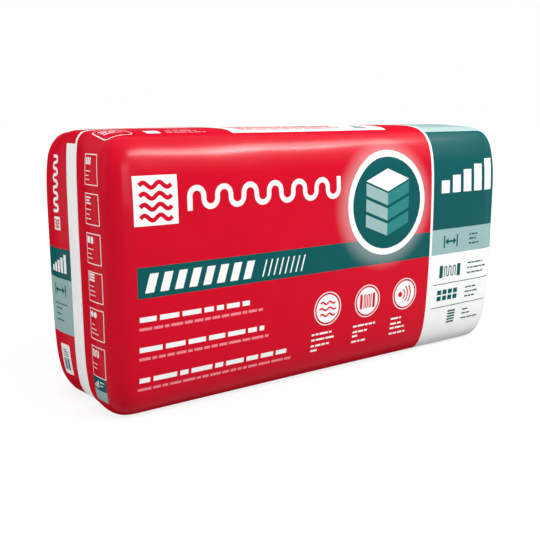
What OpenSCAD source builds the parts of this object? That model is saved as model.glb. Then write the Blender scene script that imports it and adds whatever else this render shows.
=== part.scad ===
// Bag of mineral wool insulation batts, standing on its long edge.
// X runs along the length, Y through the depth and Z up. The front face looks
// towards -Y. The origin is on the floor, under the middle of the bag.
// Lengths are in millimetres.

/* [Bag] */
// Length of the bag over the crowns of its two ends
bag_length = 1194; // [1100:1:1240]
// Depth of the bag from its front face to its back face
bag_depth = 378; // [340:1:420]
// Height of the bag as it stands
bag_height = 604; // [560:1:640]
// Thickness of the film
film_thickness = 0.15; // [0.1:0.05:0.3]

/* [Pillow shape] */
// Squareness of the section: 2 is an ellipse, and more is nearer to a box
squareness = 5.7; // [4.5:0.1:8]
// Length over which the sides curve in to each end
end_round = 100; // [80:1:130]
// Squareness of the curve that closes each end
cap_squareness = 4.2; // [3:0.1:5]
// Height that the bag's weight presses off its underside
floor_press = 10; // [6:1:14]
// Share of the depth that is lost towards the underside
foot_taper = 0.06; // [0:0.002:0.08]

/* [Seam] */
// Distance from mid-depth forward to the edge of the back web
seam_offset = 26; // [20:1:30]
// Depth of the valley down each end, where the webs are welded
valley_depth = 16; // [8:1:20]
// Distance from the middle of the valley at which it has nearly run out
valley_half_width = 60; // [40:1:80]

/* [Hidden] */

film_red = "#d5122e";
wool_green = "#8d8a6b";

batt_count = 5;
batt_pitch = bag_depth / batt_count;

half_height = (bag_height + floor_press) / 2;
centre_height = bag_height - half_height;
taper_height = 0.44 * bag_height; // the depth tapers below this height
straight = bag_length / 2 - end_round; // from mid-length to where an end begins

// Steps of the grid of points that makes a surface.
shoulder_steps = 8;
cap_steps = 7;
edge_steps = 9;
face_steps = 16;

front = -1;
back = 1;

// A station is one section of the bag: [scale of the section, share of the
// end's curve passed]. The section is the same all along between the ends.
function shoulder_station(reach) =
    [pow(1 - pow(reach, cap_squareness), 1 / squareness), reach];
function cap_station(scale) =
    [scale, pow(1 - pow(scale, squareness), 1 / cap_squareness)];

shoulder_reach = sin(90 * (shoulder_steps - 1) / shoulder_steps);
cap_scale = shoulder_station(shoulder_reach)[0];

end_stations = concat(
    [for (i = [0:shoulder_steps - 1]) shoulder_station(sin(90 * i / shoulder_steps))],
    [for (i = [1:cap_steps - 1]) cap_station(cap_scale * (1 - i / cap_steps))]);
end_count = len(end_stations);

// All sections from the left end to the right: [which end, station].
stations = concat(
    [for (i = [end_count - 1:-1:0]) [-1, end_stations[i]]],
    [for (i = [0:end_count - 1]) [1, end_stations[i]]]);
station_count = len(stations);
pole = cap_station(0);

// A column is one line of points along the bag: its place on the edge of a
// unit square, and the side of the seam that it is on.
function half_columns(side) = concat(
    [for (i = [0:edge_steps - 1]) [sin(90 * i / edge_steps), 1, side]],
    [for (i = [0:face_steps]) [1, cos(180 * i / face_steps), side]],
    [for (i = [edge_steps - 1:-1:0]) [sin(90 * i / edge_steps), -1, side]]);
half_count = len(half_columns(front));
back_columns = half_columns(back);
ring_columns = concat(
    half_columns(front),
    [for (i = [half_count - 2:-1:1]) back_columns[i]]);

// One point of the bag's surface, a given inset below its outside.
function bag_point(end, station, column, inset) =
    let (
        rounding = pow(pow(column[0], squareness) + pow(abs(column[1]), squareness), -1 / squareness),
        free_z = centre_height + (half_height - inset) * station[0] * rounding * column[1],
        taper = foot_taper * max(0, 1 - free_z / taper_height),
        half_depth = bag_depth / 2 + column[2] * seam_offset - inset,
        reach_y = half_depth * station[0] * rounding * column[0] * (1 - taper),
        y = column[2] * reach_y - seam_offset,
        valley = valley_depth * exp(-pow(y / valley_half_width, 2)) * pow(station[1], 2),
        x = straight + (end_round - inset) * station[1] - valley
    )
    [end * x, y, max(free_z, inset)];

// Every point of a surface: the grid, then the left and the right pole.
function surface_points(columns, inset) = concat(
    [for (row = stations) for (column = columns) bag_point(row[0], row[1], column, inset)],
    [for (end = [-1, 1]) bag_point(end, pole, columns[0], inset)]);

// The triangles of a surface whose points start at index base, seen clockwise
// from outside where the columns run down the front and up the back.
function surface_faces(width, closed, base) =
    let (
        last = closed ? width - 1 : width - 2,
        left_pole = base + station_count * width,
        end_row = base + (station_count - 1) * width
    )
    concat(
        [for (i = [0:station_count - 2]) for (j = [0:last])
            let (a = base + i * width, b = a + width, k = (j + 1) % width)
            each [[a + j, b + j, b + k], [a + j, b + k, a + k]]],
        [for (j = [0:last]) [left_pole, base + j, base + (j + 1) % width]],
        [for (j = [0:last]) [end_row + j, left_pole + 1, end_row + (j + 1) % width]]);

// The open edge of one web's surface: over the top, then back along the bottom.
function edge_loop(base) =
    let (left_pole = base + station_count * half_count)
    concat(
        [left_pole],
        [for (i = [0:station_count - 1]) base + i * half_count],
        [left_pole + 1],
        [for (i = [station_count - 1:-1:0]) base + i * half_count + half_count - 1]);

function turned(faces, turn) = turn ? [for (f = faces) [f[2], f[1], f[0]]] : faces;

// One film web: a thin cup over one side of the seam.
module web(side) {
    columns = half_columns(side);
    inner = station_count * half_count + 2;
    outer_edge = edge_loop(0);
    inner_edge = edge_loop(inner);
    count = len(outer_edge);
    rim = [for (i = [0:count - 1])
        let (k = (i + 1) % count)
        each [[outer_edge[k], outer_edge[i], inner_edge[i]], [outer_edge[k], inner_edge[i], inner_edge[k]]]];
    faces = concat(
        surface_faces(half_count, false, 0),
        turned(surface_faces(half_count, false, inner), true),
        rim);
    intersection() {
        polyhedron(
            points = concat(surface_points(columns, 0), surface_points(columns, film_thickness)),
            faces = turned(faces, side == back));
        // The cut leaves the web's underside as one flat face.
        translate([-bag_length, -bag_depth, 0])
            cube([2 * bag_length, 2 * bag_depth, 2 * bag_height]);
    }
}

// The space inside the film, which the batts fill.
module filling() {
    polyhedron(
        points = surface_points(ring_columns, film_thickness),
        faces = surface_faces(len(ring_columns), true, 0));
}

module film_front() {
    color(film_red) web(front);
}

module film_back() {
    color(film_red) web(back);
}

// One batt, counted from the front: a slice of the filling, pressed into shape.
module batt(number) {
    color(wool_green)
    intersection() {
        filling();
        translate([-bag_length, (number - 1) * batt_pitch - bag_depth / 2, -1])
            cube([2 * bag_length, batt_pitch, bag_height + 2]);
    }
}

film_front();
film_back();
batt(1);  // batt_1
batt(2);  // batt_2
batt(3);  // batt_3
batt(4);  // batt_4
batt(5);  // batt_5
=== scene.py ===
import math
import random

import bmesh
import bpy
from mathutils import Matrix, Vector, noise


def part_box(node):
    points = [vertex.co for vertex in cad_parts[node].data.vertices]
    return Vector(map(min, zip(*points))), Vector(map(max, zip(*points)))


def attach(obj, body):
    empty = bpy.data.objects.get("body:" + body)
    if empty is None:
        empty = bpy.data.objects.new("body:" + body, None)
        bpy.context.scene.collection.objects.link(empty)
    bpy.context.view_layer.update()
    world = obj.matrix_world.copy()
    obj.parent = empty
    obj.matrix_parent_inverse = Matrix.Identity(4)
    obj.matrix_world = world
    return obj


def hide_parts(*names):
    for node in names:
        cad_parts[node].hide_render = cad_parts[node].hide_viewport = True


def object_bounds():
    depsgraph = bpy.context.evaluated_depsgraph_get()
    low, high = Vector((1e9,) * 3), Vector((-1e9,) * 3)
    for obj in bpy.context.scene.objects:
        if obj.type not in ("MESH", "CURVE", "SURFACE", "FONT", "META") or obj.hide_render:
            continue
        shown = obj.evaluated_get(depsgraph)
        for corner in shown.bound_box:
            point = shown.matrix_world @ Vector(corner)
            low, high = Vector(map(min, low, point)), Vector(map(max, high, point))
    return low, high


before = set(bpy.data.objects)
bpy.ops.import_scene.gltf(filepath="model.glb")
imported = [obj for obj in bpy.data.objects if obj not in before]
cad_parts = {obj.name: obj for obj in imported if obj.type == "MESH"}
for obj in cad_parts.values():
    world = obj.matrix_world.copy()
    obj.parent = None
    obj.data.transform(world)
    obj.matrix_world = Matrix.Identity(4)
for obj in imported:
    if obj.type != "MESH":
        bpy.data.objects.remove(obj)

cadLow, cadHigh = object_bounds()
print("frame loaded, box", [round(n, 4) for n in (*cadLow, *cadHigh)])

# The printer's colours, in sRGB hex.
colours = {
    "red": "#d20a27",
    "teal": "#075759",
    "midTeal": "#2f8483",
    "paleTeal": "#99bab9",
    "white": "#fafbfa",
    "bareFilm": "#f8f9f7",
    "pink": "#ef8d98",
    "mint": "#b1cbc8",
}


def linear(hexColour):
    parts = [int(hexColour[i:i + 2], 16) / 255 for i in (1, 3, 5)]
    return (*[c / 12.92 if c <= 0.04045 else ((c + 0.055) / 1.055) ** 2.4 for c in parts], 1)


def addNode(tree, kind, settings=None, **inputs):
    # One node: its settings, then its inputs, each a plain value or another node's output.
    # An input is named, or i and its number where its name isn't unique.
    node = tree.nodes.new(kind)
    for name, value in (settings or {}).items():
        setattr(node, name, value)
    for name, value in inputs.items():
        key = int(name[1:]) if name[1:].isdigit() else name.replace("_", " ")
        if isinstance(value, bpy.types.NodeSocket):
            tree.links.new(value, node.inputs[key])
        else:
            node.inputs[key].default_value = value
    return node


def addMath(tree, operation, *values, kind="Math", **settings):
    # A node that works out one value from others; gives the socket that it comes out of.
    inputs = {"i%d" % number: value for number, value in enumerate(values)}
    return addNode(tree, "ShaderNode" + kind, {"operation": operation, **settings}, **inputs).outputs[0]


def addRange(tree, value, start, end, low, high, **settings):
    # As the value goes from start to end, what comes out goes from low to high.
    return addNode(tree, "ShaderNodeMapRange", settings, Value=value, From_Min=start, From_Max=end,
                   To_Min=low, To_Max=high).outputs[0]


def addDrift(tree, coords, scale, detail, low, high):
    # A value that drifts between low and high from place to place. Noise seldom leaves 0.3 to 0.7.
    drift = addNode(tree, "ShaderNodeTexNoise", None, Vector=coords, Scale=scale, Detail=detail)
    return addRange(tree, drift.outputs[0], 0.3, 0.7, low, high)


def addColour(tree, name):
    node = addNode(tree, "ShaderNodeRGB")
    node.outputs[0].default_value = linear(colours[name])
    return node.outputs[0]


def newMaterial(name):
    material = bpy.data.materials.new(name)
    material.use_nodes = True
    tree = material.node_tree
    return material, tree, tree.nodes["Principled BSDF"]


def deselectAll():
    bpy.ops.object.select_all(action="DESELECT")


def makeActive(piece):
    deselectAll()
    piece.select_set(True)
    bpy.context.view_layer.objects.active = piece


def shadeSmooth(piece):
    # Faces that meet at less than 50 degrees are shaded as one.
    makeActive(piece)
    bpy.ops.object.shade_smooth_by_angle(angle=math.radians(50))


def applyModifier(piece, kind, **settings):
    makeActive(piece)
    modifier = piece.modifiers.new(kind.lower(), kind)
    for name, value in settings.items():
        setattr(modifier, name, value)
    bpy.ops.object.modifier_apply(modifier=modifier.name)


# The camera looks at the bag's left end and front, a little from above.
camera = {"place": (-1.2403, -1.6329, 0.6454), "down": 11.29, "right": 35.69, "lens": 53.42}


def makeCamera():
    data = bpy.data.cameras.new("camera")
    data.lens = camera["lens"]
    data.sensor_width = 36
    data.clip_end = 100
    body = bpy.data.objects.new("camera", data)
    bpy.context.scene.collection.objects.link(body)
    body.location = camera["place"]
    body.rotation_euler = (math.radians(90 - camera["down"]), 0, math.radians(-camera["right"]))
    bpy.context.scene.camera = body


# Softboxes: where each one stands, what it faces, its size in metres, its power in watts, and
# whether the film mirrors it or only its light is wanted.
lamps = {
    "stripSoftbox": {"place": (1.40, -2.30, 2.80), "aim": (0.1, -0.1, 0.45), "size": (2.4, 0.28),
                     "power": 41, "mirrored": True},
    "wideSoftbox": {"place": (1.61, -2.03, 3.18), "aim": (0.1, -0.1, 0.45), "size": (2.8, 1.00),
                    "power": 72, "mirrored": True},
    "overheadSoftbox": {"place": (-0.3, 0.6, 2.7), "aim": (0, 0, 0.6), "size": (2.4, 2.4),
                        "power": 16, "mirrored": False},
    "leftSoftbox": {"place": (-2.9, 0.5, 1.2), "aim": (-0.5, 0, 0.25), "size": (0.9, 1.6),
                    "power": 35, "mirrored": False},
    "frontSoftbox": {"place": (-0.4, -3.4, 1.1), "aim": (0.0, 0, 0.3), "size": (1.2, 1.6),
                     "power": 45, "mirrored": True},
    "rearSoftbox": {"place": (0.6, 3.4, 1.5), "aim": (0, 0, 0.3), "size": (1.8, 1.6),
                    "power": 34, "mirrored": False},
}


def makeLamps():
    for name, lamp in lamps.items():
        data = bpy.data.lights.new(name, "AREA")
        data.shape = "RECTANGLE"
        data.size, data.size_y = lamp["size"]
        data.energy = lamp["power"]
        body = bpy.data.objects.new(name, data)
        bpy.context.scene.collection.objects.link(body)
        body.location = lamp["place"]
        body.visible_glossy = lamp["mirrored"]
        towards = Vector(lamp["aim"]) - Vector(lamp["place"])
        body.rotation_euler = towards.to_track_quat("-Z", "Y").to_euler()


# A white room. The bag sees it dimly; near the bag the floor keeps a little of its shadow.
backdrop = {
    "ambient": 0.26,
    "floorColour": "#8a8a8a",
    "floorSize": 60,
    "floorDrop": 0.0005,       # the floor lies this far under the bag
    "near": 1.2,
    "nearLift": 0.80,
    "far": 4.0,
    "farLift": 1.0,
}


def seenShare(tree):
    # 1 for rays that show the background: straight from the camera, mirrored or through glass.
    path = addNode(tree, "ShaderNodeLightPath")
    direct = addMath(tree, "MAXIMUM", path.outputs["Is Camera Ray"], path.outputs["Is Glossy Ray"])
    return addMath(tree, "MAXIMUM", direct, path.outputs["Is Transmission Ray"])


def makeBackdrop():
    world = bpy.data.worlds.new("studio")
    bpy.context.scene.world = world
    world.use_nodes = True
    tree = world.node_tree
    background = tree.nodes["Background"]
    background.inputs["Color"].default_value = (1, 1, 1, 1)
    strength = addRange(tree, seenShare(tree), 0.0, 1.0, backdrop["ambient"], 1.0)
    tree.links.new(strength, background.inputs["Strength"])

    deselectAll()
    bpy.ops.mesh.primitive_plane_add(size=backdrop["floorSize"], location=(0, 0, -backdrop["floorDrop"]))
    bpy.ops.object.transform_apply(location=True)
    floor = bpy.context.object
    floor.name = "floor"
    material, tree, shader = newMaterial("plain_floor")
    shader.inputs["Base Color"].default_value = linear(backdrop["floorColour"])
    shader.inputs["Roughness"].default_value = 0.9
    shader.inputs["Specular IOR Level"].default_value = 0.0
    shader.inputs["Emission Color"].default_value = (1, 1, 1, 1)
    # The floor brightens away from the bag, so that it runs into the backdrop with no edge.
    coords = addNode(tree, "ShaderNodeTexCoord").outputs["Object"]
    away = addNode(tree, "ShaderNodeVectorMath", {"operation": "LENGTH"}, i0=coords).outputs["Value"]
    glare = addRange(tree, away, backdrop["near"], backdrop["far"],
                     backdrop["nearLift"], backdrop["farLift"])
    tree.links.new(addMath(tree, "MULTIPLY", seenShare(tree), glare), shader.inputs["Emission Strength"])
    floor.data.materials.append(material)


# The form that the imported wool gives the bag. Its box comes from the frame; lengths in metres.
bag = {
    "cell": 0.015,             # subdivided once more when the film has been drawn tight
    "squareness": 5.7,         # of the section: 2 would be an ellipse
    "endRound": 0.100,         # the ends begin to round this far in
    "crownLoss": 0.0012,       # the valley's tail takes this off the crowns of the ends
    "capSquareness": 4.2,      # of the ends, seen from the front
    "floorPress": 0.010,       # the section reaches this far under the floor and is pressed flat
    "footTaper": 0.06,         # the section narrows towards the floor by this share
    "taperShare": 0.44,        # over this share of the height
    "seamY": -0.026,
    "valleyDepth": 0.016,      # the seam pulls the ends in
    "valleyHalfWidth": 0.060,
    "weldSquareness": 8.0,     # the stiff weld down each end keeps the upper corners squarer there
    "backSquareness": 0.9,     # the upper back corners stand squarer than the front ones
    "footSquareness": 0.4,     # and so do the lower ones, a little
    "backBlend": 0.02,         # the squareness comes in over this depth
    "film": 0.00015,
    "stand": 0.0006,           # the lap and the film's own thickness lie under the form
}
boxLow = Vector((cadLow.x - bag["crownLoss"], cadLow.y, -bag["floorPress"]))
boxHigh = Vector((cadHigh.x + bag["crownLoss"], cadHigh.y, cadHigh.z))


def taperAt(z):
    return bag["footTaper"] * max(0.0, 1 - z / (bag["taperShare"] * boxHigh.z))


def formPoint(point):
    # Draws a point on the bag's box in to the rounded form.
    x, y, z = point
    straight = boxHigh.x - bag["endRound"]
    halfHeight = (boxHigh.z - boxLow.z) / 2
    centreZ = (boxHigh.z + boxLow.z) / 2
    side = 1 if y > bag["seamY"] else -1
    halfDepth = boxHigh.y - side * bag["seamY"]
    reach = max(0.0, (abs(x) - straight) / bag["endRound"])
    across = abs(y - bag["seamY"]) / halfDepth
    up = (z - centreZ) / halfHeight
    above = max(0.0, up) ** 2
    below = max(0.0, -up) ** 2
    atBack = 1 / (1 + math.exp(-y / bag["backBlend"]))
    squarer = bag["weldSquareness"] * above * math.exp(-(y / bag["valleyHalfWidth"]) ** 2)
    squarer += (bag["backSquareness"] * above + bag["footSquareness"] * below) * atBack
    # The point moves towards the middle until it lies on the form: halving finds how far.
    low, high = 0.5, 1.0
    for step in range(30):
        scale = (low + high) / 2
        total = ((scale * reach) ** (bag["capSquareness"] + squarer)
                 + (scale * across) ** bag["squareness"]
                 + (scale * abs(up)) ** (bag["squareness"] + squarer))
        if total > 1:
            high = scale
        else:
            low = scale
    z = centreZ + halfHeight * up * low
    y = bag["seamY"] + side * halfDepth * across * low * (1 - taperAt(z))
    if reach > 0:
        share = reach * low
        valley = bag["valleyDepth"] * math.exp(-(y / bag["valleyHalfWidth"]) ** 2) * share ** 2
        x = math.copysign(straight + bag["endRound"] * share - valley, x)
    return Vector((x, y, max(z, bag["stand"])))


def makeForm(name, cell):
    # A box of even cells, drawn in to the form.
    deselectAll()
    bpy.ops.mesh.primitive_cube_add(size=1, location=(0, 0, 0))
    form = bpy.context.object
    form.name = name
    size = boxHigh - boxLow
    bpy.ops.transform.resize(value=size)
    bpy.ops.transform.translate(value=(boxLow + boxHigh) / 2)
    bpy.ops.object.transform_apply(location=True, rotation=True, scale=True)
    bpy.ops.object.mode_set(mode="EDIT")
    bpy.ops.mesh.select_mode(type="EDGE")
    for axis in range(3):
        bpy.ops.mesh.select_all(action="DESELECT")
        mesh = bmesh.from_edit_mesh(form.data)
        for edge in mesh.edges:
            along = edge.verts[1].co - edge.verts[0].co
            edge.select_set(abs(along[axis]) > size[axis] / 2)
        bmesh.update_edit_mesh(form.data)
        bpy.ops.mesh.subdivide(number_cuts=round(size[axis] / cell) - 1, smoothness=0)
    bpy.ops.object.mode_set(mode="OBJECT")
    for vertex in form.data.vertices:
        vertex.co = formPoint(vertex.co)
    form.data.update()
    return form


def cutAt(piece, axis, place, **settings):
    # Cuts a piece at a plane. Clearing its inner side keeps the upper part, its outer side the lower.
    makeActive(piece)
    bpy.ops.object.mode_set(mode="EDIT")
    bpy.ops.mesh.select_all(action="SELECT")
    normal = Vector((axis == 0, axis == 1, axis == 2))
    bpy.ops.mesh.bisect(plane_co=normal * place, plane_no=normal, **settings)
    bpy.ops.object.mode_set(mode="OBJECT")


def copyOf(piece, name):
    double = piece.copy()
    double.data = piece.data.copy()
    double.name = name
    bpy.context.scene.collection.objects.link(double)
    return double


def pushOut(piece, amountAt):
    # Moves every point along its normal, by the amount for its place.
    piece.data.update()
    normals = [vertex.normal.copy() for vertex in piece.data.vertices]
    for vertex, normal in zip(piece.data.vertices, normals):
        vertex.co += normal * amountAt(vertex.co)


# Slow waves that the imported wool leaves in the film, strongest just under the top edges.
waves = {
    "edgeUnder": 0.070,        # the edge waves run this far under the top
    "edgeReach": 0.042,        # and fade over this distance
    "edgeDepth": 0.0036,
    "edgeLength": 0.15,
    "edgeStart": 0.05,
    "edgeTurn": 3,             # how much they change across the top
    "edgeSeed": 4.1,
    "bellyDepth": 0.0014,      # the film stands out a little near the middle of the edge
    "bellyAt": -0.05,
    "bellyReach": 0.21,
    "faceDepth": 0.0008,
    "faceLength": 0.22,
    "faceSeed": (7.3, 0, 2.2),
    "flat": 0.004,             # none below this height, where the film is pressed to the floor
    "full": 0.06,              # and in full only from this height
}


def waveAt(place):
    if place.z < waves["flat"]:
        return 0
    edgeY = min(abs(place.y - cadLow.y), abs(place.y - cadHigh.y))
    fromEdge = math.hypot(edgeY, place.z - (cadHigh.z - waves["edgeUnder"])) / waves["edgeReach"]
    along = (place.x - waves["edgeStart"]) / waves["edgeLength"]
    edge = waves["edgeDepth"] * noise.noise(Vector((along, place.y * waves["edgeTurn"], waves["edgeSeed"])))
    edge += waves["bellyDepth"] * math.exp(-((place.x - waves["bellyAt"]) / waves["bellyReach"]) ** 2)
    face = waves["faceDepth"] * noise.noise(place / waves["faceLength"] + Vector(waves["faceSeed"]))
    return (math.exp(-fromEdge ** 2) * edge + face) * min(1, place.z / waves["full"])


# The film is drawn tight as cloth with a little air behind it. It starts from a slightly smaller
# form, swells for a few frames, and no point may end up further than the cap from the full form.
tight = {
    "inset": 0.0015,
    "cap": 0.0030,
    "pressure": 0.18,
    "frames": 8,
    "mass": 0.3,
    "tension": 80,
    "give": 20,                # against being squeezed or sheared
    "bending": 0.5,
}


def drawTight(form):
    full = [vertex.co.copy() for vertex in form.data.vertices]
    pushOut(form, lambda place: -tight["inset"])
    makeActive(form)
    cloth = form.modifiers.new("cloth", "CLOTH")
    cloth.settings.mass = tight["mass"]
    cloth.settings.tension_stiffness = tight["tension"]
    cloth.settings.compression_stiffness = tight["give"]
    cloth.settings.shear_stiffness = tight["give"]
    cloth.settings.bending_stiffness = tight["bending"]
    cloth.settings.use_pressure = True
    cloth.settings.uniform_pressure_force = tight["pressure"]
    cloth.settings.effector_weights.gravity = 0
    cloth.point_cache.frame_start = 1
    cloth.point_cache.frame_end = tight["frames"]
    for step in range(tight["frames"]):
        bpy.context.scene.frame_set(step + 1)
    bpy.ops.object.modifier_apply(modifier=cloth.name)
    bpy.context.scene.frame_set(1)
    farthest = 0.0
    for vertex, place in zip(form.data.vertices, full):
        move = vertex.co - place
        farthest = max(farthest, move.length)
        if move.length > tight["cap"]:
            move *= tight["cap"] / move.length
        vertex.co = place + move
        vertex.co.z = max(vertex.co.z, bag["stand"])
    print("film drawn tight; farthest move before the cap", round(farthest * 1000, 1), "mm")
    applyModifier(form, "SUBSURF", levels=1, render_levels=1)


# The back web's margin laps over the front web down both ends, and is welded to it there.
lap = {
    "width": 0.054,
    "tuck": 0.004,             # the front web ends this far short of the back web's printed part
    "lift": 0.00045,
    "ramp": 0.010,             # the lift fades out over this depth past the margin
}
# The unprinted weld strip down each end of the bag: how far out it begins, and its top.
weld = {"from": 0.50, "top": 0.576}


def liftAt(place):
    past = (place.y - bag["seamY"] - lap["width"]) / lap["ramp"]
    return lap["lift"] * min(1, max(0, 1 - past))


def makeFilmWebs():
    form = makeForm("film_form", bag["cell"])
    pushOut(form, waveAt)
    drawTight(form)
    frontWeb = copyOf(form, "front_film_web")
    backWeb = copyOf(form, "back_film_web")
    bpy.data.objects.remove(form)
    cutAt(frontWeb, 1, bag["seamY"] + lap["width"] - lap["tuck"], clear_outer=True)
    cutAt(backWeb, 1, bag["seamY"], clear_inner=True)
    # Edge loops where the weld strip's bare film ends.
    cutAt(backWeb, 1, bag["seamY"] + lap["width"])
    cutAt(backWeb, 2, weld["top"])
    pushOut(backWeb, liftAt)
    for web in (frontWeb, backWeb):
        applyModifier(web, "SOLIDIFY", thickness=bag["film"], offset=1)
        shadeSmooth(web)
    return frontWeb, backWeb


def giveFilm(web, printed, bare):
    # The weld strips stay bare; all else is printed.
    web.data.materials.append(printed)
    web.data.materials.append(bare)
    for face in web.data.polygons:
        x, y, z = face.center
        if abs(x) > weld["from"] and bag["seamY"] < y < bag["seamY"] + lap["width"] and z < weld["top"]:
            face.material_index = 1


# Five batts stand side by side in the bag, squeezed together by the film.
batt = {
    "count": 5,
    "cell": 0.0095,
    "clear": 0.0016,           # between the wool and the film at its tightest
    "lowWaves": 0.2,           # shares of the film's edge waves that the wool keeps clear of,
    "highWaves": 0.6,          # low down and high up
    "highFrom": 0.3,
    "gap": 0.0006,             # between one batt and the next
    "voxel": 0.0085,
    "tuftDepth": 0.0016,
    "tuftSize": 0.018,
    "tuftSeed": 9.1,
}


def woolInset(place):
    share = batt["highWaves"] if place.z > batt["highFrom"] else batt["lowWaves"]
    return -(batt["clear"] + tight["cap"] + waves["edgeDepth"] * share)


def makeBatts():
    wool = makeForm("wool_form", batt["cell"])
    pushOut(wool, woolInset)
    batts = []
    for number in range(1, batt["count"] + 1):
        low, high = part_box("batt_%d" % number)
        piece = copyOf(wool, "wool_batt_%d" % number)
        if number > 1:
            cutAt(piece, 1, low.y + batt["gap"] / 2, use_fill=True, clear_inner=True)
        if number < batt["count"]:
            cutAt(piece, 1, high.y - batt["gap"] / 2, use_fill=True, clear_outer=True)
        applyModifier(piece, "REMESH", mode="VOXEL", voxel_size=batt["voxel"])
        roughenWool(piece, number)
        batts.append(piece)
    bpy.data.objects.remove(wool)
    return batts


def roughenWool(piece, number):
    # Loose tufts of fibre leave the cut faces slightly lumpy. They only go inwards.
    shift = Vector((number * batt["tuftSeed"], 0, 0))

    def tuftAt(place):
        return -batt["tuftDepth"] * (0.5 + 0.5 * noise.noise(place / batt["tuftSize"] + shift))

    pushOut(piece, tuftAt)
    makeActive(piece)
    bpy.ops.object.shade_smooth()


def woolMaterial():
    # Stone wool: matt, brown-green fibre laid in loose layers, with darker bindered flecks.
    material, tree, shader = newMaterial("stone_wool")
    coords = addNode(tree, "ShaderNodeTexCoord").outputs["Object"]
    laid = addNode(tree, "ShaderNodeMapping", None, Vector=coords, Scale=(60.0, 420.0, 60.0))
    fibres = addNode(tree, "ShaderNodeTexNoise", None, Vector=laid.outputs[0], Scale=1.0, Detail=6.0,
                     Roughness=0.7, Distortion=1.2)
    clumps = addNode(tree, "ShaderNodeTexNoise", None, Vector=coords, Scale=28.0, Detail=4.0)
    blend = addMath(tree, "MULTIPLY_ADD", fibres.outputs[0], 0.6, clumps.outputs[0])
    ramp = addNode(tree, "ShaderNodeValToRGB", None, Fac=blend)
    ramp.color_ramp.elements[0].position = 0.45
    ramp.color_ramp.elements[0].color = linear("#5c5a40")
    ramp.color_ramp.elements[1].position = 1.0
    ramp.color_ramp.elements[1].color = linear("#b3ae88")
    tree.links.new(ramp.outputs[0], shader.inputs["Base Color"])
    bump = addNode(tree, "ShaderNodeBump", None, Height=fibres.outputs[0], Strength=0.9, Distance=0.0015)
    tree.links.new(bump.outputs[0], shader.inputs["Normal"])
    shader.inputs["Roughness"].default_value = 0.95
    shader.inputs["Specular IOR Level"].default_value = 0.1
    shader.inputs["Sheen Weight"].default_value = 0.25
    shader.inputs["Sheen Roughness"].default_value = 0.6
    return material


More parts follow.
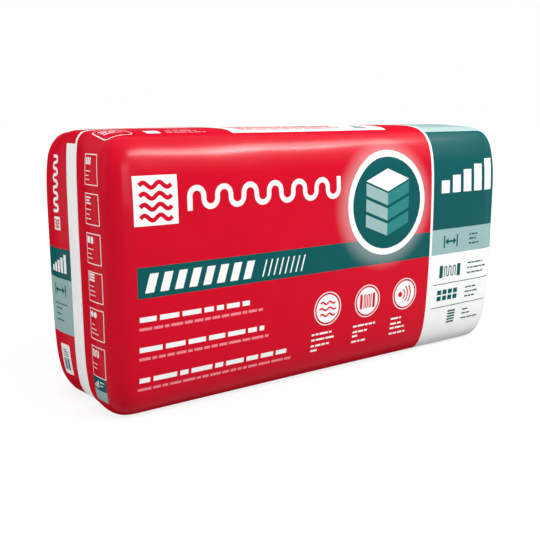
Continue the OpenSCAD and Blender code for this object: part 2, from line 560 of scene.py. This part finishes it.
# Printed motifs are drawn flat, in millimetres, and then laid on the film. Each sheet is one ink in
# one place. On a face u runs to the right and v up; on an end u runs to the right as seen from
# outside, so that on the left end it is -y; on the top u is x and v is y. Boxes are given as
# (left, low, right, high). Words stand for lines of copy: plain bars, with no letters.
mm = 0.001
sheets = [
    # The square mark, the large hatch, the slanted bars on the band and the lines of copy.
    {"place": "main", "ink": "white", "layer": 1,
     "bars": [(-536, 416, -436, 517)],
     "snakes": [{"box": (-414, 440, 2, 493), "turns": 12, "line": 12}],
     "slants": [{"box": (-517, 278, -245, 318), "count": 8, "line": 20},
                {"box": (-226, 278, -102, 316), "count": 8, "line": 3.5}],
     "words": [(-530, 217, -259, 228), (-531, 152, -218, 163), (-531, 84, -150, 95)],
     "rings": [(-30, 175, 42, 2.4), (99, 176, 42, 2.4), (229, 177, 42, 2.4)],
     "discs": [(-30, 175, 35), (99, 176, 35), (229, 177, 35)],
     "small": [(-76, 112, -14, 117), (-76, 98, -4, 103), (-76, 83, -19, 88), (-76, 71, -49, 76),
               (56, 112, 130, 117), (56, 97, 104, 102), (56, 86, 78, 91), (56, 71, 102, 76),
               (186, 112, 223, 117), (186, 98, 224, 103), (186, 86, 237, 91), (186, 71, 243, 76)]},
    {"place": "main", "ink": "pink", "layer": 1,
     "words": [(-531, 199, -223, 205), (-532, 134, -205, 140), (-534, 66, -135, 72)]},
    {"place": "main", "ink": "red", "layer": 2,
     "waves": [{"box": (-522, low, -450, low + 16), "turns": 4, "line": 9} for low in (490, 468, 446, 424)]
              + [{"box": (left, low, -60 - left, low + 9), "turns": 4, "line": 4.5}
                 for left, low in ((-53, 185), (-56, 170), (-53, 155))],
     "bars": [(74, 157, 82, 195), (116, 157, 124, 195)],
     "snakes": [{"box": (86, 158, 112, 194), "turns": 4, "line": 3.2}],
     "discs": [(213, 177, 7)],
     "arcs": [(213, 177, 16, -50, 50, 4), (213, 177, 26, -50, 50, 4), (213, 177, 36, -38, 38, 4)]},
    # The round badge: three batts in a stack.
    {"place": "main", "ink": "white", "layer": 1, "discs": [(156, 419, 130)]},
    {"place": "main", "ink": "teal", "layer": 2, "discs": [(156, 419, 114)]},
    {"place": "main", "ink": "white", "layer": 3,
     "quads": [((156, 448), (228, 476), (156, 504), (84, 476))]},
    {"place": "main", "ink": "paleTeal", "layer": 3,
     "quads": [((84, top), (156, top - 28), (156, top - 58), (84, top - 30)) for top in (471, 433, 395)]},
    {"place": "main", "ink": "midTeal", "layer": 3,
     "quads": [((156, top - 28), (228, top), (228, top - 30), (156, top - 58)) for top in (471, 433, 395)]},
    # The right panel: a rising gauge, a length arrow, a wall section, a field of batts and a stack.
    {"place": "panel", "ink": "white", "layer": 1,
     "bars": [(350, 431, 381, 464), (393, 431, 424, 477), (436, 431, 467, 490), (479, 431, 510, 503),
              (522, 431, 552, 516)]},
    {"place": "panel", "ink": "teal", "layer": 1,
     "bars": [(366, 284, 371, 317), (416, 284, 421, 317), (380, 298, 407, 303),
              (356, 202, 369, 236), (425, 202, 438, 236)]
             + [(left, low, left + 16, low + 13) for low in (138, 155) for left in (353, 374, 395, 416)]
             + [(403, low, 433, low + 5) for low in (69, 77, 85, 93, 101)]
             + [(336, 184, 562, 186), (333, 119, 556, 121)],
     "quads": [((372, 300.5), (384, 291), (384, 310)), ((403, 291), (415, 300.5), (403, 310))],
     "snakes": [{"box": (374, 204, 420, 234), "turns": 5, "line": 3.5}],
     "small": [(467, 311, 500, 315), (467, 299, 496, 303), (467, 286, 506, 290),
               (467, 231, 528, 235), (467, 217, 545, 221), (467, 203, 540, 207),
               (465, 162, 508, 166), (465, 149, 522, 153), (465, 136, 511, 140),
               (463, 98, 485, 102), (463, 86, 496, 90), (463, 72, 530, 76)]},
    # The ends: six outlined boxes and a tag near the front corner, and a column further back.
    {"place": "endFront", "ink": "white", "layer": 1,
     "frames": [(90, low, 148, high, 1.8) for low, high in
                ((497, 559), (417, 481), (336, 400), (256, 320), (175, 242), (92, 160))],
     "bars": [(95, 538, 101, 552), (104, 538, 110, 552), (113, 538, 119, 552),
              (95, 471, 118, 474), (95, 465, 112, 468), (95, 459, 118, 462),
              (95, 379, 106, 393), (110, 379, 121, 393),
              (95, 300, 120, 304), (95, 306, 120, 310), (95, 312, 120, 316)],
     "discs": [(101, 229, 6.5), (116, 229, 6.5)],
     "snakes": [{"box": (95, 136, 125, 153), "turns": 4, "line": 3.5}],
     "small": [(95, 524, 118, 526), (95, 515, 110, 517), (95, 507, 114, 509),
               (95, 447, 120, 449), (95, 437, 111, 439), (95, 428, 116, 430),
               (95, 366, 121, 368), (95, 356, 112, 358), (95, 347, 118, 349),
               (95, 288, 116, 290), (95, 278, 122, 280), (95, 269, 120, 271),
               (95, 206, 113, 208), (95, 196, 120, 198), (95, 187, 126, 189),
               (95, 120, 116, 122), (95, 110, 112, 112)]},
    {"place": "endFront", "ink": "teal", "layer": 1, "bars": [(87, 62, 146, 92)]},
    {"place": "endFront", "ink": "paleTeal", "layer": 1, "bars": [(87, 36, 146, 62)]},
    {"place": "endFront", "ink": "white", "layer": 2,
     "bars": [(94, 67, 99, 74), (102, 67, 107, 79), (110, 67, 115, 84)],
     "small": [(121, 81, 139, 83.5), (121, 73, 134, 75.5)]},
    {"place": "endBack", "ink": "white", "layer": 1,
     "bars": [(-88, 384, -62, 414)],
     "columns": [{"box": (-90, 423, -65, 550), "turns": 9, "line": 7}],
     "rounded": [(-98, 50, -56, 121, 6)]},
    {"place": "endBack", "ink": "red", "layer": 2,
     "waves": [{"box": (-84, low, -66, low + 6), "turns": 3, "line": 3.5} for low in (402, 395, 388)]},
    {"place": "endBack", "ink": "white", "layer": 2,
     "bars": [(-112, 288, -102, 302), (-98, 288, -88, 309), (-84, 288, -74, 316), (-70, 288, -60, 323),
              (-56, 288, -46, 331)]},
    {"place": "endBack", "ink": "teal", "layer": 2,
     "bars": [(-106, 234, -103, 260), (-57, 234, -54, 260), (-94, 245, -66, 249), (-110, 214, -50, 216),
              (-90, 92, -65, 94), (-90, 97, -65, 99), (-90, 102, -65, 104), (-90, 107, -70, 109),
              (-90, 60, -87, 88), (-85, 60, -80, 88), (-77, 60, -75, 88), (-72, 60, -66, 88)],
     "quads": [((-101, 247), (-92, 239), (-92, 255)), ((-69, 239), (-60, 247), (-69, 255))],
     "small": [(-104, 202, -72, 205), (-104, 189, -81, 192), (-104, 175, -70, 178)]},
    # The top: a rounded banner at the left, small marks along the front edge and lines of copy.
    {"place": "topFront", "ink": "white", "layer": 1,
     "outlines": [(-565, -133, -502, -58, 12, 1.8)],
     "bars": [(-470, -128, -438, -104)],
     "small": [(-556, -78, -514, -73), (-556, -92, -520, -87), (-556, -106, -516, -101)]},
    {"place": "topFront", "ink": "pink", "layer": 1,
     "small": [(-424, -127, -328, -121), (-420, -115, -344, -109), (-416, -103, -352, -97)],
     "words": [(-236, -46, 90, -38), (-236, -60, 76, -52), (-236, -74, 92, -66), (-236, -88, 60, -80),
               (-236, -102, 88, -94), (-236, -116, 72, -108)]},
    {"place": "topFront", "ink": "teal", "layer": 1,
     "bars": [(108, -118, 146, -110), (114, -100, 150, -92), (110, -82, 144, -74)]},
    {"place": "topFront", "ink": "paleTeal", "layer": 1,
     "words": [(345, -38, 500, -28), (345, -54, 520, -44), (345, -70, 490, -60), (345, -86, 525, -76),
               (345, -102, 470, -92), (345, -118, 510, -108)]},
    {"place": "topBack", "ink": "white", "layer": 1,
     "bars": [(-567, 52, -553, 68), (-567, 73, -553, 80), (-567, 85, -553, 89)]},
    {"place": "topBack", "ink": "pink", "layer": 1,
     "words": [(-236, 126, 120, 132), (-236, 104, 150, 110), (-236, 82, 80, 88), (-236, 60, 132, 66)]},
    {"place": "topBack", "ink": "paleTeal", "layer": 1,
     "words": [(345, 128, 545, 138), (345, 104, 520, 114), (345, 80, 540, 90), (345, 56, 500, 66)]},
]


def drawBar(box):
    left, low, right, high = [n * mm for n in box]
    centre = ((left + right) / 2, (low + high) / 2, 0)
    bpy.ops.mesh.primitive_plane_add(size=1, location=centre)
    bpy.ops.transform.resize(value=(right - left, high - low, 1), center_override=centre)


def hollow(line):
    # Leaves only the outline of the face just drawn.
    bpy.ops.mesh.inset(thickness=line * mm)
    bpy.ops.mesh.delete(type="FACE")


def drawDisc(u, v, radius, sides=40):
    bpy.ops.mesh.primitive_circle_add(vertices=sides, radius=radius * mm, fill_type="NGON",
                                      location=(u * mm, v * mm, 0))


def placeCorners(corners):
    # Moves the corners of the shape just drawn, in turn, to where they are wanted.
    mesh = bmesh.from_edit_mesh(bpy.context.object.data)
    mesh.verts.ensure_lookup_table()
    for vertex, (u, v) in zip([vertex for vertex in mesh.verts if vertex.select], corners):
        vertex.co = (u * mm, v * mm, 0)
    bmesh.update_edit_mesh(bpy.context.object.data)


def drawPolygon(corners):
    # A disc with as many corners, which are then moved.
    drawDisc(0, 0, 10, sides=len(corners))
    placeCorners(corners)


def arcPath(u, v, radius, start, end, steps=10):
    angles = [math.radians(start + (end - start) * step / steps) for step in range(steps + 1)]
    return [(u + radius * math.cos(angle), v + radius * math.sin(angle)) for angle in angles]


def roundedCorners(left, low, right, high, radius):
    corners = []
    for u, v, start in ((right - radius, low + radius, -90), (right - radius, high - radius, 0),
                        (left + radius, high - radius, 90), (left + radius, low + radius, 180)):
        corners += arcPath(u, v, radius, start, start + 90, steps=4)
    return corners


def drawStrip(path, line):
    # A row of squares laid along a path.
    bpy.ops.mesh.primitive_grid_add(x_subdivisions=len(path) - 1, y_subdivisions=1, size=1)
    sides = []
    for number, here in enumerate(path):
        before = path[max(0, number - 1)]
        after = path[min(len(path) - 1, number + 1)]
        along = Vector((after[0] - before[0], after[1] - before[1])).normalized()
        sides.append((here, (-along.y * line / 2, along.x * line / 2)))
    below = [(here[0] - out[0], here[1] - out[1]) for here, out in sides]
    above = [(here[0] + out[0], here[1] + out[1]) for here, out in sides]
    placeCorners(below + above)


# Straight bits in each half round of a hatch, and in each half wave.
turnSteps = 8


def snakePath(box, turns, line):
    # Upright runs joined by half rounds, as wool is hatched in a drawing.
    left, low, right, high = box
    pitch = (right - left - line) / turns
    radius = pitch / 2
    bottom, top = low + line / 2 + radius, high - line / 2 - radius
    path = [(left + line / 2, low)]
    for turn in range(turns):
        u = left + line / 2 + pitch * (turn + 0.5)
        rising = turn % 2 == 0
        centre = top if rising else bottom
        path += arcPath(u, centre, radius, 180, 0 if rising else 360, steps=turnSteps)
    path.append((right - line / 2, low if turns % 2 else high))
    return path


def wavePath(box, turns):
    # A sine wave, two thirds as high as its box.
    left, low, right, high = box
    steps = turns * turnSteps
    return [(left + (right - left) * step / steps,
             (low + high) / 2 + (high - low) / 3 * math.sin(math.pi * step / turnSteps))
            for step in range(steps + 1)]


# A word's shortest and longest bar and the gap after it, as shares of its height.
word = {"short": 1.6, "long": 5.5, "gap": 0.7}


def drawWords(box, dice):
    # Bars of uneven lengths, one for each word of a line of copy.
    left, low, right, high = box
    tall = high - low
    start = left
    while start < right - tall:
        end = min(right, start + tall * dice.uniform(word["short"], word["long"]))
        drawBar((start, low, end, high))
        start = end + tall * word["gap"]


def drawSlants(box, count, line):
    # A row of bars that lean over by three tenths of their height.
    left, low, right, high = box
    lean = (high - low) * 0.3
    pitch = (right - left - line - lean) / (count - 1)
    for number in range(count):
        u = left + pitch * number
        drawPolygon([(u, low), (u + line, low), (u + line + lean, high), (u + lean, high)])


def drawSheet(sheet, dice):
    deselectAll()
    bpy.ops.mesh.primitive_plane_add(size=0.1)
    piece = bpy.context.object
    bpy.ops.object.mode_set(mode="EDIT")
    bpy.ops.mesh.delete(type="VERT")
    for box in sheet.get("bars", []):
        drawBar(box)
    for *box, line in sheet.get("frames", []):
        drawBar(box)
        hollow(line)
    for shape in sheet.get("rounded", []):
        drawPolygon(roundedCorners(*shape))
    for *shape, line in sheet.get("outlines", []):
        drawPolygon(roundedCorners(*shape))
        hollow(line)
    for disc in sheet.get("discs", []):
        drawDisc(*disc)
    for *disc, line in sheet.get("rings", []):
        drawDisc(*disc)
        hollow(line)
    for corners in sheet.get("quads", []):
        drawPolygon(corners)
    for snake in sheet.get("snakes", []):
        drawStrip(snakePath(snake["box"], snake["turns"], snake["line"]), snake["line"])
    for column in sheet.get("columns", []):
        left, low, right, high = column["box"]
        path = snakePath((low, left, high, right), column["turns"], column["line"])
        drawStrip([(v, u) for u, v in reversed(path)], column["line"])
    for wave in sheet.get("waves", []):
        drawStrip(wavePath(wave["box"], wave["turns"]), wave["line"])
    for *arc, line in sheet.get("arcs", []):
        drawStrip(arcPath(*arc), line)
    for slant in sheet.get("slants", []):
        drawSlants(slant["box"], slant["count"], slant["line"])
    for box in sheet.get("words", []) + sheet.get("small", []):
        drawWords(box, dice)
    bpy.ops.mesh.select_all(action="SELECT")
    bpy.ops.mesh.normals_make_consistent(inside=False)
    bpy.ops.object.mode_set(mode="OBJECT")
    if sum(polygon.normal.z for polygon in piece.data.polygons) < 0:
        piece.data.flip_normals()
    return piece


def cutToGrid(piece, pitch):
    # Even cuts across a flat sheet, so that it can follow the film's curves.
    makeActive(piece)
    spots = [vertex.co.copy() for vertex in piece.data.vertices]
    bpy.ops.object.mode_set(mode="EDIT")
    for axis in range(2):
        normal = Vector((axis == 0, axis == 1, 0))
        first = math.floor(min(spot[axis] for spot in spots) / pitch) + 1
        last = math.ceil(max(spot[axis] for spot in spots) / pitch)
        for number in range(first, last):
            bpy.ops.mesh.select_all(action="SELECT")
            bpy.ops.mesh.bisect(plane_co=normal * number * pitch, plane_no=normal)
    bpy.ops.object.mode_set(mode="OBJECT")


# Where each place's sheets go: the web, the side of the bag that they are pressed on from, the
# direction that u takes there, and how many metres they are moved along it.
front, back, left, right, up = (0, -1, 0), (0, 1, 0), (-1, 0, 0), (1, 0, 0), (0, 0, 1)
layings = {
    "main": [("front", front, right, 0), ("back", back, left, 0.240)],
    "panel": [("front", front, right, 0), ("back", back, left, -0.895)],
    "endFront": [("front", left, front, 0), ("back", right, back, 0)],
    "endBack": [("back", left, front, 0), ("front", right, back, 0)],
    "topFront": [("front", up, right, 0)],
    "topBack": [("back", up, right, 0)],
}
ink = {
    "pitch": 0.0075,           # the sheets are cut this often, to follow the film's curves
    "rise": 0.00022,           # from the film to the first layer, and from one layer to the next
    "thickness": 0.00008,
    "frontCorner": 3.9,        # the ends' prints take the bag's upper corners to be this square
    "backCorner": 10.0,
}


def drawnIn(y, z):
    # How far the bag's section narrows at a height: 1 at its widest. Its upper corner is
    # rounder at the front than at the back.
    share = (2 * z - boxHigh.z - boxLow.z) / (boxHigh.z - boxLow.z)
    power = bag["squareness"]
    if share > 0:
        power = ink["backCorner"] if y > bag["seamY"] else ink["frontCorner"]
    return (1 - abs(share) ** power) ** (1 / power) * (1 - taperAt(z))


def laySheet(sheet, piece, web, side, along, shift):
    # A copy of the sheet is stood beside the bag and pressed straight on to the film.
    laid = copyOf(piece, "laid_" + sheet["ink"])
    away = Vector(side)
    u = Vector(along)
    turn = Matrix((u, away.cross(u), away)).transposed().to_4x4()
    laid.data.transform(Matrix.Translation(away + u * shift) @ turn)
    if "end" in sheet["place"]:
        # The end's prints are drawn in towards the seam with the film, where its corners round off.
        for vertex in laid.data.vertices:
            inward = drawnIn(vertex.co.y, vertex.co.z)
            vertex.co.y = bag["seamY"] + (vertex.co.y - bag["seamY"]) * inward
    applyModifier(laid, "SHRINKWRAP", target=web, wrap_method="PROJECT", wrap_mode="ABOVE_SURFACE",
                  use_project_x=away.x != 0, use_project_y=away.y != 0, use_project_z=away.z != 0,
                  use_positive_direction=sum(away) < 0, use_negative_direction=sum(away) > 0,
                  offset=ink["rise"] * sheet["layer"])
    applyModifier(laid, "SOLIDIFY", thickness=ink["thickness"], offset=1)
    shadeSmooth(laid)
    return laid


def makePrints(webs):
    dice = random.Random(12)
    laidSheets = {}
    for sheet in sheets:
        piece = drawSheet(sheet, dice)
        cutToGrid(piece, ink["pitch"])
        for web, *way in layings[sheet["place"]]:
            laid = laySheet(sheet, piece, webs[web], *way)
            laidSheets.setdefault(web + "_web_print_" + sheet["ink"], []).append(laid)
        bpy.data.objects.remove(piece)
    prints = []
    for name, pieces in laidSheets.items():
        makeActive(pieces[0])
        for other in pieces[1:]:
            other.select_set(True)
        if len(pieces) > 1:
            bpy.ops.object.join()
        pieces[0].name = name
        prints.append(pieces[0])
    return prints


def boxMask(tree, coords, low, high):
    # 1 inside a box given in object coordinates, 0 outside it.
    centre = [(a + b) / 2 for a, b in zip(low, high)]
    half = [(b - a) / 2 for a, b in zip(low, high)]
    moved = addMath(tree, "SUBTRACT", coords, centre, kind="VectorMath")
    folded = addMath(tree, "ABSOLUTE", moved, kind="VectorMath")
    beyond = addMath(tree, "SUBTRACT", folded, half, kind="VectorMath")
    x, y, z = addNode(tree, "ShaderNodeSeparateXYZ", None, i0=beyond).outputs
    farthest = addMath(tree, "MAXIMUM", addMath(tree, "MAXIMUM", x, y), z)
    return addMath(tree, "LESS_THAN", farthest, 0.0)


# Flat blocks of ink on the film, laid one over another. A face block is given for the
# front and mirrored on the back; an end block is given for the left end and repeats,
# turned half round, on the right. A seam block stays where it is.
inkBlocks = [
    {"on": "face", "ink": "teal", "low": (-0.533, -1, 0.267), "high": (0.3125, -0.12, 0.332)},
    {"on": "face", "ink": "white", "low": (0.3125, -1, -1), "high": (1, 1, 1)},
    {"on": "face", "ink": "mint", "low": (0.3207, -1, 0.568), "high": (1, 1, 1)},
    {"on": "face", "ink": "teal", "low": (0.3207, -1, 0.335), "high": (1, -0.148, 1)},
    {"on": "face", "ink": "paleTeal", "low": (0.3207, -1, 0.267), "high": (1, -0.15, 0.335)},
    {"on": "face", "ink": "white", "low": (-0.265, -0.134, 0.5), "high": (0.197, 1, 1)},
    {"on": "end", "ink": "red", "low": (-1, -0.15, 0.03), "high": (-0.5, 0.15, 0.568)},
    {"on": "end", "ink": "teal", "low": (-1, 0.028, 0.274), "high": (-0.5, 0.150, 0.343)},
    {"on": "end", "ink": "paleTeal", "low": (-1, 0.028, 0.147), "high": (-0.5, 0.150, 0.274)},
    {"on": "seam", "ink": "bareFilm", "low": (-1, -0.026, -1), "high": (1, -0.0150, 1)},
]
# A soft light halo is printed round the badge, on the front and on the back.
halos = [
    {"centre": (0.150, -0.189, 0.415), "start": 0.120, "end": 0.172, "share": 0.22},
    {"centre": (-0.390, 0.189, 0.415), "start": 0.120, "end": 0.172, "share": 0.22},
]


# The film's surface. Its noise is given in turns to the metre.
surface = {
    "tension": (3.0, 14.0, 14.0),    # the tension lines lie along the bag
    "peel": 160.0,
    "peelShare": 0.02,         # of the relief; the rest is tension lines
    "smudge": 9.0,
    "relief": 0.35,
    "reliefDepth": 0.002,
    "smoothest": 0.15,
    "roughest": 0.19,
    "hazeFrom": 0.44,          # how far the film is turned from the eye where the haze begins
    "hazeFull": 0.68,
    "haze": 0.75,
    "gloss": 0.54,
    "brightGloss": 0.78,       # of the stretch that shines more than the rest
    "brightAt": -0.285,
    "brightCore": 0.02,
    "brightReach": 0.12,
    "coatRoughness": 0.28,
    "inkGloss": 0.06,          # what the ink mirrors under the film's gloss
    "index": 1.51,             # polyethylene
}
# The gloss rises from nothing to full between these places: up the faces, down from the top, in
# from both ends, and in from the right.
glossFades = [
    {"axis": "up", "none": 0.510, "full": 0.556},
    {"axis": "up", "none": 0.594, "full": 0.568},
    {"axis": "out", "none": 0.578, "full": 0.495},
    {"axis": "right", "none": 0.660, "full": 0.300},
]


def filmFinish(tree, shader, coords):
    # Blown polyethylene film: a soft gloss, a little uneven where it was drawn tight over
    # the wool, with a slight orange peel and long shallow tension lines.
    stretched = addNode(tree, "ShaderNodeMapping", None, Vector=coords, Scale=surface["tension"])
    tension = addNode(tree, "ShaderNodeTexNoise", None, Vector=stretched.outputs[0], Scale=1.0, Detail=2.0)
    peel = addNode(tree, "ShaderNodeTexNoise", None, Vector=coords, Scale=surface["peel"], Detail=1.0)
    height = addMath(tree, "MULTIPLY_ADD", peel.outputs[0], surface["peelShare"], tension.outputs[0])
    bump = addNode(tree, "ShaderNodeBump", None, Height=height, Strength=surface["relief"],
                   Distance=surface["reliefDepth"])
    tree.links.new(bump.outputs[0], shader.inputs["Normal"])
    # Seen along its face, the film's fine haze takes over from its gloss.
    even = addDrift(tree, coords, scale=surface["smudge"], detail=4.0,
                    low=surface["smoothest"], high=surface["roughest"])
    facing = addNode(tree, "ShaderNodeLayerWeight", None, Blend=0.5).outputs["Facing"]
    haze = addRange(tree, facing, surface["hazeFrom"], surface["hazeFull"], 0.0, surface["haze"])
    roughness = addMath(tree, "ADD", even, haze, use_clamp=True)
    tree.links.new(roughness, shader.inputs["Roughness"])
    # Along the top edges the film is drawn tightest, and is glossier for it. One stretch of them
    # shines more than the rest.
    x, y, z = addNode(tree, "ShaderNodeSeparateXYZ", None, i0=coords).outputs
    places = {"right": x, "out": addMath(tree, "ABSOLUTE", x), "up": z}
    apart = addMath(tree, "ABSOLUTE", addMath(tree, "SUBTRACT", x, surface["brightAt"]))
    gloss = addRange(tree, apart, surface["brightCore"], surface["brightReach"],
                     surface["brightGloss"], surface["gloss"], interpolation_type="SMOOTHSTEP")
    for fade in glossFades:
        share = addRange(tree, places[fade["axis"]], fade["none"], fade["full"], 0.0, 1.0,
                         interpolation_type="SMOOTHSTEP")
        gloss = addMath(tree, "MULTIPLY", share, gloss)
    tree.links.new(gloss, shader.inputs["Coat Weight"])
    shader.inputs["Coat Roughness"].default_value = surface["coatRoughness"]
    shader.inputs["Coat IOR"].default_value = 1.5
    shader.inputs["IOR"].default_value = surface["index"]
    shader.inputs["Specular IOR Level"].default_value = surface["inkGloss"]


def inkMottle(tree, coords, colour):
    # Flexographic ink lies a little thicker and thinner over a few centimetres.
    amount = addDrift(tree, coords, scale=22.0, detail=3.0, low=0.97, high=1.02)
    mottled = addNode(tree, "ShaderNodeVectorMath", {"operation": "SCALE"}, i0=colour, Scale=amount)
    return mottled.outputs[0]


def filmMaterial():
    # Printed film: the ground and the large flat blocks of ink.
    material, tree, shader = newMaterial("printed_polyethylene_film")
    coords = addNode(tree, "ShaderNodeTexCoord").outputs["Object"]
    x, y, z = addNode(tree, "ShaderNodeSeparateXYZ", None, i0=coords).outputs
    toFront = addMath(tree, "MULTIPLY", addMath(tree, "ABSOLUTE", y), -1.0)
    mirrored = addNode(tree, "ShaderNodeCombineXYZ", None, i0=x, i1=toFront, i2=z)
    # On the right end the places are turned half round, on to the left one.
    flip = addMath(tree, "MULTIPLY", addMath(tree, "SIGN", x), -1.0)
    turned = addNode(tree, "ShaderNodeCombineXYZ", None, i0=addMath(tree, "MULTIPLY", x, flip),
                     i1=addMath(tree, "MULTIPLY", y, flip), i2=z)
    places = {"face": mirrored.outputs[0], "end": turned.outputs[0], "seam": coords}
    painted = addColour(tree, "red")
    for block in inkBlocks:
        mask = boxMask(tree, places[block["on"]], block["low"], block["high"])
        mix = addNode(tree, "ShaderNodeMix", {"data_type": "RGBA"}, i0=mask, i6=painted,
                      i7=linear(colours[block["ink"]]))
        painted = mix.outputs[2]
    for halo in halos:
        distance = addNode(tree, "ShaderNodeVectorMath", {"operation": "DISTANCE"}, i0=coords,
                           i1=halo["centre"]).outputs["Value"]
        share = addRange(tree, distance, halo["start"], halo["end"], halo["share"], 0.0,
                         interpolation_type="SMOOTHSTEP")
        mix = addNode(tree, "ShaderNodeMix", {"data_type": "RGBA"}, i0=share, i6=painted,
                      i7=linear(colours["white"]))
        painted = mix.outputs[2]
    tree.links.new(inkMottle(tree, coords, painted), shader.inputs["Base Color"])
    filmFinish(tree, shader, coords)
    return material


def bareFilmMaterial():
    # The unprinted margin: milky white polyethylene with its own full gloss.
    material, tree, shader = newMaterial("bare_polyethylene_film")
    coords = addNode(tree, "ShaderNodeTexCoord").outputs["Object"]
    bare = addColour(tree, "bareFilm")
    tree.links.new(inkMottle(tree, coords, bare), shader.inputs["Base Color"])
    # Fine crimps run across the weld.
    crimp = addNode(tree, "ShaderNodeTexWave", {"bands_direction": "Z"}, Vector=coords, Scale=60.0,
                    Distortion=1.5, Detail=1.0)
    bump = addNode(tree, "ShaderNodeBump", None, Height=crimp.outputs[0], Strength=0.15, Distance=0.0008)
    tree.links.new(bump.outputs[0], shader.inputs["Normal"])
    roughness = addDrift(tree, coords, scale=14.0, detail=3.0, low=0.22, high=0.30)
    tree.links.new(roughness, shader.inputs["Roughness"])
    shader.inputs["IOR"].default_value = surface["index"]
    return material


def inkMaterial(name):
    # Flexographic ink, with the film's finish over it.
    material, tree, shader = newMaterial("flexo_ink_" + name)
    coords = addNode(tree, "ShaderNodeTexCoord").outputs["Object"]
    tree.links.new(inkMottle(tree, coords, addColour(tree, name)), shader.inputs["Base Color"])
    filmFinish(tree, shader, coords)
    return material


makeCamera()
makeLamps()
makeBackdrop()
bpy.context.scene.view_settings.view_transform = "Standard"
print("camera, lamps and backdrop set")

frontWeb, backWeb = makeFilmWebs()
film = filmMaterial()
bareFilm = bareFilmMaterial()
for web, node in ((frontWeb, "film_front"), (backWeb, "film_back")):
    giveFilm(web, film, bareFilm)
    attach(web, "root")
    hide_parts(node)
    print(web.name, "has", len(web.data.polygons), "faces")

inks = {}
for piece in makePrints({"front": frontWeb, "back": backWeb}):
    name = piece.name.split("_")[-1]
    if name not in inks:
        inks[name] = inkMaterial(name)
    piece.data.materials.clear()
    piece.data.materials.append(inks[name])
    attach(piece, "root")
    print(piece.name, "has", len(piece.data.polygons), "faces")

wool = woolMaterial()
for piece in makeBatts():
    node = piece.name.replace("wool_", "")
    piece.data.materials.clear()
    piece.data.materials.append(wool)
    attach(piece, "root")
    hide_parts(node)
    print(piece.name, "has", len(piece.data.polygons), "faces")
